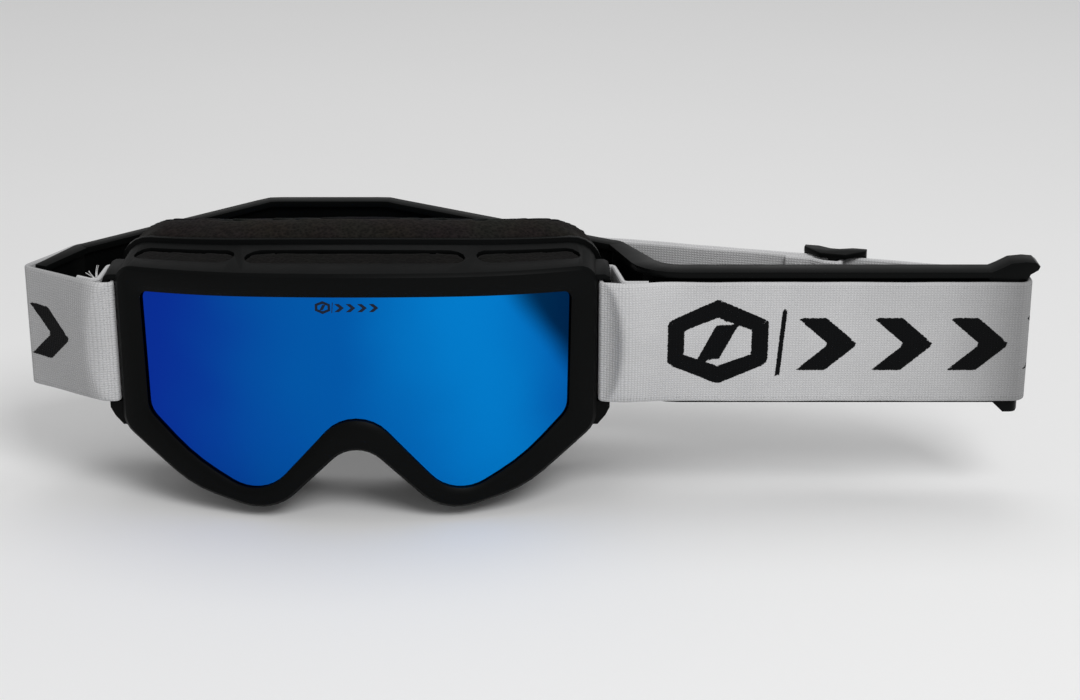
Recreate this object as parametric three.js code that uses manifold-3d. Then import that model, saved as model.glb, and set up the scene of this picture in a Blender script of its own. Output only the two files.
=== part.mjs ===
// Motorcycle goggles with their strap stretched on a moulded display former.
//
// Millimetres, +Z up. +X is the wearer's left, the lens faces -Y and the wearer's face is at +Y.
// Inside the group y is counted from the middle of the lens, and the group is moved at the end, so that
// the origin is the middle of the face opening, in the plane of the foam at the brow.

import * as THREE from 'three';
import { mergeVertices } from 'three/addons/utils/BufferGeometryUtils.js';
import Module from 'manifold-3d';

const FAR = 100; // past every face, for cutting right through

const wasm = await Module();
wasm.setup();

// ---- driving dimensions -------------------------------------------------------------------------

const GAP = 0.3; // between pieces that touch
const LENS_RADIUS = 205; // the lens is bent round one upright axis
const LENS_THICKNESS = 1.6;
const LENS_OVERLAP = 3; // how far the lens edge sits in its groove
const LIP = 0.9; // frame lip in front of the lens edge
const SHOULDER = 2; // thickness of the frame's ledge behind the lens edge
const LEDGE_INSET = 0.8; // ledge outside the edge of the opening
const BEVEL = 2.8; // slope from the lens up to the rim face
const RIM_RISE = 2.5; // rim face in front of the lens
const RIM_CHAMFER = 1.2;
const WALL = 2.2;
const FLANGE_DEPTH = 24; // lens to foam flange at the brow
const FLANGE_RADIUS = 190; // curve of the flange round the face
const FLANGE_THICKNESS = 2.2;
const FLANGE_LIP = 1.6; // flange proud of the outer wall
const FLANGE_WIDTH = 10;
const FOAM_THICKNESS = 12.5;
const FACING_THICKNESS = 4;
const FOAM_ROUND = 2.5;
const PAD_BACK = FLANGE_DEPTH + FOAM_THICKNESS + FACING_THICKNESS; // lens to the face at the brow

const VENT_START = 6.5; // front edge of a vent slot, behind the lens surface
const VENT_WIDTH = 10.5;
const VENT_FOAM_RECESS = 1.2;
const VENT_FOAM_THICKNESS = 5;
const TOP_VENTS = [['left', -79.5, -42.5], ['centre', -38.8, 38.8], ['right', 42.5, 79.5]];
const LOWER_VENT = [24, 50]; // x range of each cheek vent
const LOWER_VENT_START = 8;
const TOP_VENT_HEIGHTS = [20, 50]; // the cut for a vent runs between these heights
const LOWER_VENT_HEIGHTS = [-70, -45];

const STRAP_WIDTH = 45;
const STRAP_HALF = STRAP_WIDTH / 2;
const STRAP_THICKNESS = 1.8;
const LAYER = STRAP_THICKNESS + GAP; // from one strap layer to the next
const STRAP_PLANE = 17.9; // y of the front run's middle
const EDGE_GAP = 0.5; // strap edge to what it passes through

const POST_INNER = 88.1; // outrigger post, from the middle plane
const POST_OUTER = 90.2;
const POST_DEPTH = 18;
const SLOT_WIDTH = 2.6;
const OUTRIGGER_RISE = 2.5; // bracket above the strap's edge
const OUTRIGGER_INSIDE = 78; // where the bracket starts, before the cavity is cut out of it
const OUTRIGGER_SHOULDER = [[-2.2, 0], [-0.6, -0.8], [0, -2.6]]; // x from the post, z from the bracket's top
const OUTRIGGER_FOOT = [[0, -0.4], [-1.6, -3.6], [-4.4, -7]]; // x from the post, z from the mirrored top
const TAIL_TURN = 94.2; // where the sewn tail at the right meets the strap again
const TAIL_END = 103.5;
const LOOP_OUTER = 91.6; // outside of the strap's loop behind the right post
const LEFT_LOOP_OUTER = 91.4;

const FORMER_END = 237.8; // right-hand end of the former
const FORMER_ARM_TOP = STRAP_HALF + 3.1;
const FORMER_ARM_BOTTOM = -STRAP_HALF - 1.1;
const FORMER_KNEE_TOP = STRAP_HALF + 0.4; // where the bow meets the arms
const FORMER_CROWN_TOP = STRAP_HALF + 10.9; // over the middle of the bow
const FORMER_CROWN_X = -15;
const FORMER_CROWN_HALF = 23;
const FORMER_CROWN_SLOPE = 0.155;
const FORMER_FLANGE = 2.2;
const FORMER_WEB = 2.4;
const FORMER_ARM_DEPTH = 9.4;
const FORMER_BOW_DEPTH = 6;
const FORMER_TIP_DEPTH = 4.5; // at the left-hand end
const FORMER_TIP_DROP = 1.3;
const FORMER_GAP = 0.4; // strap's inner surface to the former
const FORMER_FRONT_GAP = 0.6; // the same along the front
const FORMER_END_ROUND = 3.4;
const FORMER_END_PLATE = 2.4;
const ARM_START_Y = PAD_BACK + 17.5; // the bow becomes the arm between these depths
const ARM_CHANGE = 26;
const TIP_START_Y = PAD_BACK + 19.5;
const TIP_CHANGE = 20;
const KNEE_X = 94; // nothing to the left of this is arm
const TIP_X = -100; // nothing to the right of this is tip
const FORMER_ARM_FRONT = STRAP_PLANE + STRAP_THICKNESS / 2 + FORMER_FRONT_GAP;
const FORMER_ARM_BACK = FORMER_ARM_FRONT + FORMER_ARM_DEPTH;

// Horns at the former's right-hand end: x from the end, z from the arm's top or bottom.
const TOP_HORN = [[-15, -1], [-10, 1.2], [-6, 3.3], [-1, 3.8], [2.6, 3.5], [4.2, 2.2], [3.6, 0.8], [1, -0.8]];
const BOTTOM_HORN = [[-11.5, 2], [-5.5, -3.7], [-0.8, -3.7], [0, -2.9], [0, 5], [-11.5, 5]];
const HORN_ROOT = 5; // how far the top horn reaches down into the end

const SLIDER_X = 173; // middle of the adjuster
const SLIDER_WIDTH = 22;
const SLIDER_BAR = 4;
const SLIDER_MIDDLE_BAR = 3;
const SLIDER_PLATE = 2.2;
const SLIDER_RAIL = 2;
const SLIDER_HUMP = 5; // length of the rail's thick part at each outer bar
const SLIDER_SHOULDER = 3;
const SLIDER_TONGUE = 0.6; // rail in front of the outer bars' front
const RING_X = 52; // middle of the ring on the bow
const RING_LENGTH = 13;
const RING_BAR = 3;
const RING_PLATE = 2.2;
const RING_TAIL = 15; // right of the ring's middle: end of the long strap, sewn to its own run
const RING_RISE = 11; // where the long strap starts to rise over the ring's bar
const RING_TOP = 6;
const LEFT_RISE = 12; // the same, left of the ring's middle, for the short strap
const LEFT_LOW = 17;
const LEFT_TAIL = 27;
const TACK_WIDTH = 3;
const TACK_PROUD = 0.5;
const TACK_MARGIN = 2; // thread stops short of the strap's edges
const TACK_RIGHT_X = 97.5;
const TURN_SLACK = 0.6; // how much wider than the former's corners the strap turns
const SEWN_START = 5; // end of the doubled-back layer, from the fold in the adjuster
const SEWN_END = 14;
const LEFT_TAIL_BEND = 2.2; // end of the left-hand length, along the left front run
const LEFT_TAIL_END = 11.5;
const TACK_LEFT = 6; // along the left front run
const TACK_ADJUSTER = 12; // left of the adjuster's middle
const TACK_RING = 22; // left of the ring's middle

// ---- outlines -----------------------------------------------------------------------------------

// Right-hand half of each outline from the top middle to the nose: x, z and corner radius.
const OPENING_HALF = [
  [0, 23.9, 900], [76.2, 20.8, 3], [75.4, -24.2, 8], [59.4, -40.2, 70], [34.9, -54.2, 15.4], [0, -15.2, 15],
];
const RIM_HALF = [
  [0, 32.4, 900], [85.3, 29.4, 7], [85.3, -31, 9], [60, -51.3, 40], [30.8, -59.4, 20], [0, -29, 12],
];
const FLANGE_HALF = [
  [0, 38.7, 560], [87.6, 32.2, 13], [87.6, -31.5, 12], [61, -53.4, 40], [30.8, -61.6, 19], [0, -29.4, 12],
];
const FOAM_HALF = [
  [0, 42.2, 420], [88.2, 35.6, 24], [88.2, -33, 15], [61, -55.2, 40], [30.8, -63.4, 19], [0, -29.8, 12],
];
const ARC_STEPS = [8, 6, 5, 3, 8, 8]; // segments in each corner
const LEG_STEPS = [7, 3, 3, 3, 4]; // segments between corners

const opening = mirrored(OPENING_HALF);
const rim = mirrored(RIM_HALF);
const flangeOuter = mirrored(FLANGE_HALF);
const foamOuter = mirrored(FOAM_HALF);

// Depth of the lens front and of the flange's rear face, behind the middle of the lens.
function lensY(x) {
  return LENS_RADIUS - Math.sqrt(LENS_RADIUS ** 2 - x ** 2);
}

function flangeY(x) {
  return FLANGE_DEPTH + FLANGE_RADIUS - Math.sqrt(FLANGE_RADIUS ** 2 - x ** 2);
}

// Full closed outline from its right-hand half: corners with the steps of their arc and of the leg after it.
function mirrored(half) {
  const last = half.length - 1;
  const right = half.map(([x, z, r], i) => {
    return { x, z, r, arc: ARC_STEPS[i], leg: LEG_STEPS[Math.min(i, last - 1)] };
  });
  const left = half.slice(1, last).map(([x, z, r], i) => {
    return { x: -x, z, r, arc: ARC_STEPS[i + 1], leg: LEG_STEPS[i] };
  });
  return [...right, ...left.reverse()];
}

// The same outline moved outwards by d, corner by corner.
function offset(corners, d) {
  const n = corners.length;
  return corners.map((c, i) => {
    const before = corners[(i + n - 1) % n];
    const after = corners[(i + 1) % n];
    const a = new THREE.Vector2(c.x - before.x, c.z - before.z).normalize();
    const b = new THREE.Vector2(after.x - c.x, after.z - c.z).normalize();
    const normalA = new THREE.Vector2(-a.y, a.x);
    const normalB = new THREE.Vector2(-b.y, b.x);
    const turn = a.x * b.y - a.y * b.x;
    const miter = normalA.clone().add(normalB);
    miter.multiplyScalar(d / (1 + normalA.dot(normalB)));
    const r = Math.max(turn < 0 ? c.r + d : c.r - d, 0.5);
    return { ...c, x: c.x + miter.x, z: c.z + miter.y, r };
  });
}

// Arc that rounds the corner between two directions.
function cornerArc(corner, towards, away, steps) {
  const cos = THREE.MathUtils.clamp(towards.dot(away), -1, 1);
  const halfTurn = Math.acos(-cos) / 2;
  const length = corner.r * Math.tan(halfTurn);
  const point = new THREE.Vector2(corner.x, corner.z);
  const start = point.clone().addScaledVector(towards, length);
  const side = towards.x * away.y - towards.y * away.x > 0 ? 1 : -1;
  const normal = new THREE.Vector2(-towards.y, towards.x).multiplyScalar(side);
  const centre = start.clone().addScaledVector(normal, corner.r);
  const arm = start.clone().sub(centre);
  const points = [];
  for (let k = 0; k <= steps; k += 1) {
    const turn = (-side * 2 * halfTurn * k) / steps;
    points.push(arm.clone().rotateAround(new THREE.Vector2(), turn).add(centre));
  }
  return points;
}

// Points of a closed outline, the same number for every outline with the same corners.
function outlinePoints(corners) {
  const n = corners.length;
  const arcs = corners.map((c, i) => {
    const before = corners[(i + n - 1) % n];
    const after = corners[(i + 1) % n];
    const towards = new THREE.Vector2(before.x - c.x, before.z - c.z).normalize();
    const away = new THREE.Vector2(after.x - c.x, after.z - c.z).normalize();
    return cornerArc(c, towards, away, c.arc);
  });
  const points = [];
  arcs.forEach((arc, i) => {
    points.push(...arc);
    const next = arcs[(i + 1) % n][0];
    const last = arc[arc.length - 1];
    for (let k = 1; k < corners[i].leg; k += 1) {
      points.push(last.clone().lerp(next, k / corners[i].leg));
    }
  });
  return points;
}

// Points of an open path in plan with rounded corners: each entry is x, y and corner radius.
function pathPoints(path) {
  const points = [new THREE.Vector2(path[0][0], path[0][1])];
  for (let i = 1; i < path.length - 1; i += 1) {
    const [x, y, r] = path[i];
    const towards = new THREE.Vector2(path[i - 1][0] - x, path[i - 1][1] - y).normalize();
    const away = new THREE.Vector2(path[i + 1][0] - x, path[i + 1][1] - y).normalize();
    const turn = Math.PI - Math.acos(THREE.MathUtils.clamp(towards.dot(away), -1, 1));
    const steps = Math.max(2, Math.ceil(turn / (Math.PI / 12)));
    points.push(...cornerArc({ x, z: y, r }, towards, away, steps));
  }
  const end = path[path.length - 1];
  points.push(new THREE.Vector2(end[0], end[1]));
  return points;
}

// An open path moved to its left by d.
function offsetPath(path, d) {
  return path.map(([x, y, r], i) => {
    const before = path[Math.max(i - 1, 0)];
    const after = path[Math.min(i + 1, path.length - 1)];
    const here = new THREE.Vector2(x, y);
    const a = i > 0 ? here.clone().sub(new THREE.Vector2(before[0], before[1])).normalize() : null;
    const b = i < path.length - 1 ? new THREE.Vector2(after[0], after[1]).sub(here).normalize() : null;
    const first = a ?? b;
    const second = b ?? a;
    const normalA = new THREE.Vector2(-first.y, first.x);
    const normalB = new THREE.Vector2(-second.y, second.x);
    const miter = normalA.clone().add(normalB).multiplyScalar(d / (1 + normalA.dot(normalB)));
    const turn = first.x * second.y - first.y * second.x;
    return [x + miter.x, y + miter.y, Math.max(turn > 0 ? r - d : r + d, 0.6)];
  });
}

// ---- solids -------------------------------------------------------------------------------------

function toManifold(geometry) {
  geometry.deleteAttribute('normal');
  geometry.deleteAttribute('uv');
  const merged = mergeVertices(geometry, 1e-4);
  const vertProperties = new Float32Array(merged.attributes.position.array);
  const triVerts = new Uint32Array(merged.index.array);
  return new wasm.Manifold(new wasm.Mesh({ numProp: 3, vertProperties, triVerts }));
}

function toGeometry(manifold) {
  const { vertProperties, triVerts } = manifold.getMesh();
  const geometry = new THREE.BufferGeometry();
  geometry.setAttribute('position', new THREE.BufferAttribute(new Float32Array(vertProperties), 3));
  geometry.setIndex(new THREE.BufferAttribute(new Uint32Array(triVerts), 1));
  geometry.computeVertexNormals();
  return geometry;
}

function indexed(points, faces) {
  let volume = 0;
  for (const [a, b, c] of faces) {
    volume += points[a].dot(points[b].clone().cross(points[c]));
  }
  const index = volume > 0 ? faces.flat() : faces.flatMap(([a, b, c]) => [a, c, b]);
  const geometry = new THREE.BufferGeometry().setFromPoints(points);
  geometry.setIndex(index);
  return geometry;
}

// A closed hoop: each ring is a closed loop of points, and the last ring joins the first.
function hoop(rings) {
  const n = rings[0].length;
  const faces = [];
  rings.forEach((ring, k) => {
    const next = (k + 1) % rings.length;
    for (let i = 0; i < n; i += 1) {
      const j = (i + 1) % n;
      faces.push([k * n + i, k * n + j, next * n + j], [k * n + i, next * n + j, next * n + i]);
    }
  });
  return toManifold(indexed(rings.flat(), faces));
}

// A ring of the hoop: an outline whose depth is a function of x.
function ring(corners, depth) {
  return outlinePoints(corners).map((p) => new THREE.Vector3(p.x, depth(p.x), p.y));
}

// Outline in x and z, extruded from y0 to y1.
function extrudeDepth(points, y0, y1) {
  const shape = new THREE.Shape(points.map((p) => new THREE.Vector2(p.x, p.y)));
  const geometry = new THREE.ExtrudeGeometry(shape, { depth: y1 - y0, bevelEnabled: false, steps: 1 });
  geometry.rotateX(Math.PI / 2);
  geometry.translate(0, y1, 0);
  return toManifold(geometry);
}

// Outline in x and y, extruded from z0 to z1.
function extrudeUp(points, z0, z1) {
  const shape = new THREE.Shape(points.map((p) => new THREE.Vector2(p.x, p.y)));
  const geometry = new THREE.ExtrudeGeometry(shape, { depth: z1 - z0, bevelEnabled: false, steps: 1 });
  geometry.translate(0, 0, z0);
  return toManifold(geometry);
}

function box(x0, x1, y0, y1, z0, z1) {
  const geometry = new THREE.BoxGeometry(x1 - x0, y1 - y0, z1 - z0);
  geometry.translate((x0 + x1) / 2, (y0 + y1) / 2, (z0 + z1) / 2);
  return toManifold(geometry);
}

// A length of strap: a flat ribbon standing on its edge along a path in plan.
function ribbon(points, thickness, z0, z1) {
  const left = [];
  const right = [];
  points.forEach((p, i) => {
    const before = points[Math.max(i - 1, 0)];
    const after = points[Math.min(i + 1, points.length - 1)];
    const a = p.clone().sub(before);
    const b = after.clone().sub(p);
    const first = (a.lengthSq() > 0 ? a : b).normalize();
    const second = (b.lengthSq() > 0 ? b : a).normalize();
    const normal = new THREE.Vector2(-first.y - second.y, first.x + second.x);
    normal.multiplyScalar(thickness / 2 / (1 + first.dot(second)));
    left.push(p.clone().add(normal));
    right.push(p.clone().sub(normal));
  });
  return extrudeUp([...left, ...right.reverse()], z0, z1);
}

// A bar whose section changes along its path: every section has the same number of points.
function bar(sections, contour) {
  const n = sections[0].length;
  const faces = [];
  for (let k = 0; k < sections.length - 1; k += 1) {
    for (let i = 0; i < n; i += 1) {
      const j = (i + 1) % n;
      const a = k * n + i;
      const b = k * n + j;
      faces.push([a, b, b + n], [a, b + n, a + n]);
    }
  }
  const last = (sections.length - 1) * n;
  for (const [a, b, c] of THREE.ShapeUtils.triangulateShape(contour, [])) {
    faces.push([a, c, b], [last + a, last + b, last + c]);
  }
  return toManifold(indexed(sections.flat(), faces));
}

// ---- goggles ------------------------------------------------------------------------------------

// Slot in plan that follows the lens curve from x0 to x1, with rounded ends.
function ventPlan(x0, x1, start, width, inset) {
  const points = [];
  const r = width / 2 - inset;
  const middle = start + width / 2;
  const steps = Math.max(3, Math.ceil((x1 - x0) / 9));
  for (let k = 0; k <= steps; k += 1) {
    const x = THREE.MathUtils.lerp(x0 + width / 2, x1 - width / 2, k / steps);
    points.push(new THREE.Vector2(x, lensY(x) + middle - r));
  }
  for (let k = 1; k < 6; k += 1) {
    const angle = -Math.PI / 2 + (Math.PI * k) / 6;
    const x = x1 - width / 2;
    points.push(new THREE.Vector2(x + r * Math.cos(angle), lensY(x) + middle + r * Math.sin(angle)));
  }
  for (let k = steps; k >= 0; k -= 1) {
    const x = THREE.MathUtils.lerp(x0 + width / 2, x1 - width / 2, k / steps);
    points.push(new THREE.Vector2(x, lensY(x) + middle + r));
  }
  for (let k = 1; k < 6; k += 1) {
    const angle = Math.PI / 2 + (Math.PI * k) / 6;
    const x = x0 + width / 2;
    points.push(new THREE.Vector2(x + r * Math.cos(angle), lensY(x) + middle + r * Math.sin(angle)));
  }
  return points;
}

const wallRear = offset(flangeOuter, -FLANGE_LIP);
const flangeInner = offset(flangeOuter, -FLANGE_WIDTH);

// Moulded ring: rim face, outer wall, foam flange, inner wall and lens groove.
function frameRing() {
  const rear = (x) => flangeY(x);
  const rearFront = (x) => flangeY(x) - FLANGE_THICKNESS;
  const behindLens = (x) => lensY(x) + LENS_THICKNESS + GAP;
  const groove = offset(opening, LENS_OVERLAP + GAP);
  const ledge = offset(opening, LEDGE_INSET);
  return hoop([
    ring(offset(opening, BEVEL), (x) => lensY(x) - RIM_RISE),
    ring(offset(rim, -RIM_CHAMFER), (x) => lensY(x) - RIM_RISE),
    ring(rim, (x) => lensY(x) - RIM_RISE + RIM_CHAMFER),
    ring(wallRear, rearFront),
    ring(flangeOuter, rearFront),
    ring(flangeOuter, rear),
    ring(flangeInner, rear),
    ring(flangeInner, rearFront),
    ring(offset(wallRear, -WALL), rearFront),
    ring(offset(rim, -WALL), (x) => behindLens(x) + SHOULDER),
    ring(ledge, (x) => behindLens(x) + SHOULDER),
    ring(ledge, behindLens),
    ring(groove, behindLens),
    ring(groove, (x) => lensY(x) - GAP),
    ring(opening, (x) => lensY(x) - GAP),
    ring(opening, (x) => lensY(x) - GAP - LIP),
  ]);
}

// Band of foam just under the outer wall, cut into the vent foams below.
function ventFoamBand() {
  const outer = -VENT_FOAM_RECESS;
  const inner = -VENT_FOAM_RECESS - VENT_FOAM_THICKNESS;
  const front = (x) => lensY(x) - RIM_RISE + RIM_CHAMFER;
  const rear = (x) => flangeY(x) - FLANGE_THICKNESS;
  return hoop([ring(offset(rim, outer), front), ring(offset(wallRear, outer), rear),
    ring(offset(wallRear, inner), rear), ring(offset(rim, inner), front)]);
}

// Side bracket with the upright post that the strap is sewn round; side is 1 or -1.
function outrigger(side) {
  const front = STRAP_PLANE + STRAP_THICKNESS / 2 + GAP;
  const top = STRAP_HALF + OUTRIGGER_RISE;
  const shoulder = OUTRIGGER_SHOULDER.map(([x, z]) => [POST_OUTER + x, top + z]);
  const upper = [[OUTRIGGER_INSIDE, top], ...shoulder];
  const foot = OUTRIGGER_FOOT.map(([x, z]) => [POST_OUTER + x, z - top]);
  const lower = [...foot, [OUTRIGGER_INSIDE, foot[foot.length - 1][1]]];
  const points = [...upper, ...lower].map(([x, z]) => new THREE.Vector2(side * x, z));
  const body = extrudeDepth(points, front, front + POST_DEPTH);
  const slot = [POST_INNER - SLOT_WIDTH, POST_INNER].map((x) => side * x).sort((a, b) => a - b);
  const slotTop = STRAP_HALF + EDGE_GAP;
  return body.subtract(box(slot[0], slot[1], front - FAR, front + FAR, -slotTop, slotTop));
}

function frameSolid() {
  let solid = frameRing();
  const core = hoopCore(offset(rim, -WALL / 2));
  for (const side of [-1, 1]) {
    solid = solid.add(outrigger(side).subtract(core));
  }
  for (const [, x0, x1] of TOP_VENTS) {
    solid = solid.subtract(extrudeUp(ventPlan(x0, x1, VENT_START, VENT_WIDTH, 0), ...TOP_VENT_HEIGHTS));
  }
  for (const side of [-1, 1]) {
    const [x0, x1] = LOWER_VENT.map((x) => side * x).sort((a, b) => a - b);
    const plan = ventPlan(x0, x1, LOWER_VENT_START, VENT_WIDTH, 0);
    solid = solid.subtract(extrudeUp(plan, ...LOWER_VENT_HEIGHTS));
  }
  return solid;
}

// Everything inside an outline, used to keep the brackets out of the cavity.
function hoopCore(corners) {
  return extrudeDepth(outlinePoints(corners), -FAR, FAR);
}

function lensSolid() {
  const blank = extrudeDepth(outlinePoints(offset(opening, LENS_OVERLAP)), -FAR, FAR);
  const steps = 40;
  const front = [];
  const rear = [];
  for (let k = 0; k <= steps; k += 1) {
    const x = THREE.MathUtils.lerp(-FAR, FAR, k / steps);
    front.push(new THREE.Vector2(x, lensY(x)));
    rear.push(new THREE.Vector2(x, lensY(x) + LENS_THICKNESS));
  }
  return blank.intersect(extrudeUp([...front, ...rear.reverse()], -FAR, FAR));
}

function foamSolid() {
  const front = (x) => flangeY(x) + GAP;
  const rear = (x) => flangeY(x) + FOAM_THICKNESS;
  const middle = (x) => (front(x) + rear(x)) / 2;
  return hoop([ring(offset(flangeOuter, -0.6), front), ring(offset(foamOuter, -1), middle),
    ring(foamOuter, rear), ring(offset(flangeInner, -1), rear), ring(offset(flangeInner, 0.5), front)]);
}

function facingSolid() {
  const front = (x) => flangeY(x) + FOAM_THICKNESS + GAP;
  const rear = (x) => flangeY(x) + FOAM_THICKNESS + FACING_THICKNESS;
  const middle = (x) => (front(x) + rear(x)) / 2;
  return hoop([ring(foamOuter, front), ring(offset(foamOuter, -FOAM_ROUND / 3), middle),
    ring(offset(foamOuter, -FOAM_ROUND), rear), ring(offset(flangeInner, 0.6), rear),
    ring(offset(flangeInner, -1), front)]);
}

// ---- former -------------------------------------------------------------------------------------

// Outer edge of the former in plan, from its right-hand end to its left-hand tip.
const FORMER_PATH = [
  [FORMER_END, FORMER_ARM_BACK, 1],
  [108.5, FORMER_ARM_BACK, 9],
  [95.5, PAD_BACK + 26, 6],
  [8, PAD_BACK + 48, 34],
  [-38, PAD_BACK + 48, 26],
  [-107, PAD_BACK + 21.5, 6],
  [-118.4, PAD_BACK + 0.5, 1],
];

// Height of the former's top and bottom and depth of its flanges at a point of the path.
function formerSection(x, y) {
  const onArm = x > KNEE_X ? THREE.MathUtils.clamp((ARM_START_Y - y) / ARM_CHANGE, 0, 1) : 0;
  const atTip = x < TIP_X ? THREE.MathUtils.clamp((TIP_START_Y - y) / TIP_CHANGE, 0, 1) : 0;
  const fromCrown = Math.max(Math.abs(x - FORMER_CROWN_X) - FORMER_CROWN_HALF, 0);
  const bowTop = Math.max(FORMER_CROWN_TOP - FORMER_CROWN_SLOPE * fromCrown, FORMER_KNEE_TOP);
  const toArm = (FORMER_ARM_DEPTH - FORMER_BOW_DEPTH) * onArm;
  const toTip = (FORMER_TIP_DEPTH - FORMER_BOW_DEPTH) * atTip;
  return {
    top: bowTop + (FORMER_ARM_TOP - FORMER_KNEE_TOP) * onArm - FORMER_TIP_DROP * atTip,
    bottom: FORMER_ARM_BOTTOM,
    depth: FORMER_BOW_DEPTH + toArm + toTip,
  };
}

function formerBar() {
  const points = pathPoints(FORMER_PATH);
  const sections = [];
  let contour = null;
  points.forEach((p, i) => {
    const before = points[Math.max(i - 1, 0)];
    const after = points[Math.min(i + 1, points.length - 1)];
    const along = after.clone().sub(before).normalize();
    const inward = new THREE.Vector2(-along.y, along.x);
    const { top, bottom, depth } = formerSection(p.x, p.y);
    const web0 = (depth - FORMER_WEB) / 2;
    const web1 = (depth + FORMER_WEB) / 2;
    const low = bottom + FORMER_FLANGE;
    const high = top - FORMER_FLANGE;
    const flat = [
      [0, bottom], [depth, bottom], [depth, low], [web1, low], [web1, high], [depth, high],
      [depth, top], [0, top], [0, high], [web0, high], [web0, low], [0, low],
    ];
    contour = contour ?? flat.map(([n, z]) => new THREE.Vector2(n, z));
    sections.push(flat.map(([n, z]) => new THREE.Vector3(p.x + inward.x * n, p.y + inward.y * n, z)));
  });
  return bar(sections, contour);
}

function formerSolid() {
  const slotTop = STRAP_HALF + EDGE_GAP;
  const root = [[0, slotTop], [0, slotTop - HORN_ROOT], [-9, slotTop - HORN_ROOT]];
  const topHorn = [
    ...TOP_HORN.map(([x, z]) => [FORMER_END + x, FORMER_ARM_TOP + z]),
    ...root.map(([x, z]) => [FORMER_END + x, z]),
  ];
  const bottomHorn = BOTTOM_HORN.map(([x, z]) => [FORMER_END + x, FORMER_ARM_BOTTOM + z]);
  const plateX = FORMER_END - FORMER_END_PLATE;
  const depths = [FORMER_ARM_FRONT, FORMER_ARM_BACK];
  const horn = (outline) => extrudeDepth(outline.map(([x, z]) => new THREE.Vector2(x, z)), ...depths);
  let solid = formerBar();
  solid = solid.add(box(plateX, FORMER_END, ...depths, FORMER_ARM_BOTTOM, FORMER_ARM_TOP));
  solid = solid.add(horn(topHorn)).add(horn(bottomHorn));
  for (const [y, inwards] of [[FORMER_ARM_FRONT, 1], [FORMER_ARM_BACK, -1]]) {
    solid = solid.subtract(endRounding(y, inwards, slotTop));
  }
  return solid;
}

// What is cut off an upright corner of the former's end, up to the height top, to round it.
function endRounding(y, inwards, top) {
  const r = FORMER_END_ROUND;
  const ys = [y - inwards, y + inwards * r].sort((a, b) => a - b);
  const square = box(FORMER_END - r, FORMER_END + 1, ...ys, -FAR, top);
  const round = new THREE.CylinderGeometry(r, r, 2 * FAR, 24);
  round.rotateX(Math.PI / 2);
  round.translate(FORMER_END - r, y + inwards * r, 0);
  return square.subtract(toManifold(round));
}

// ---- strap --------------------------------------------------------------------------------------

const slotMiddle = POST_INNER - SLOT_WIDTH / 2;
const postBack = STRAP_PLANE + STRAP_THICKNESS / 2 + GAP + POST_DEPTH + GAP + STRAP_THICKNESS / 2;
const firstLayer = FORMER_GAP + STRAP_THICKNESS / 2;
const wrapX = FORMER_END + firstLayer;
// Paths run leftwards along the former, so its outside is on their right and offsets to it are negative.
const onFormer = offsetPath(FORMER_PATH, -firstLayer);

// Points beside the straight back run and beside the bow's right flank: at x along it, v to its outside.
// The run is measured from the middle of the outer layer, the bow from the middle of the layer that touches it.
const runStart = new THREE.Vector2(wrapX, FORMER_ARM_BACK + firstLayer + FORMER_FRONT_GAP);
const overReturn = offsetPath(FORMER_PATH, -firstLayer - LAYER);
const runEnd = new THREE.Vector2(overReturn[2][0], overReturn[2][1]);
const bowStart = new THREE.Vector2(onFormer[2][0], onFormer[2][1]);
const runDirection = runEnd.clone().sub(runStart).normalize();
const runOutside = new THREE.Vector2(runDirection.y, -runDirection.x);
const bowEnd = new THREE.Vector2(onFormer[3][0], onFormer[3][1]);
const bowDirection = bowEnd.clone().sub(bowStart).normalize();
const bowOutside = new THREE.Vector2(bowDirection.y, -bowDirection.x);

function onRun(x, v) {
  const t = (x - runStart.x) / runDirection.x;
  return runStart.clone().addScaledVector(runDirection, t).addScaledVector(runOutside, v);
}

function onBow(x, v) {
  const t = (x - bowStart.x) / bowDirection.x;
  return bowStart.clone().addScaledVector(bowDirection, t).addScaledVector(bowOutside, v);
}

// Point on the slanted front run at the left, d towards the tip and v behind the run's middle.
const LEFT_TIP = [-121.6, PAD_BACK - 3.3];
const LEFT_KINK = [-91.6, STRAP_PLANE + 0.1];
const leftKink = new THREE.Vector2(...LEFT_KINK);
const leftDirection = new THREE.Vector2(...LEFT_TIP).sub(leftKink).normalize();

function onLeftRun(d, v) {
  const behind = new THREE.Vector2(leftDirection.y, -leftDirection.x);
  return leftKink.clone().addScaledVector(leftDirection, d).addScaledVector(behind, v);
}

const ringOuterLayer = RING_PLATE + 2 * GAP + STRAP_THICKNESS;
const ringSlack = STRAP_THICKNESS / 2 + GAP; // from a fold's middle to the ring's bar
const ringSpan = RING_LENGTH - 2 * RING_BAR - 2 * ringSlack; // between the two folds in the ring

function atRing(d, v) {
  return onBow(RING_X, v).addScaledVector(bowDirection, d);
}

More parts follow.
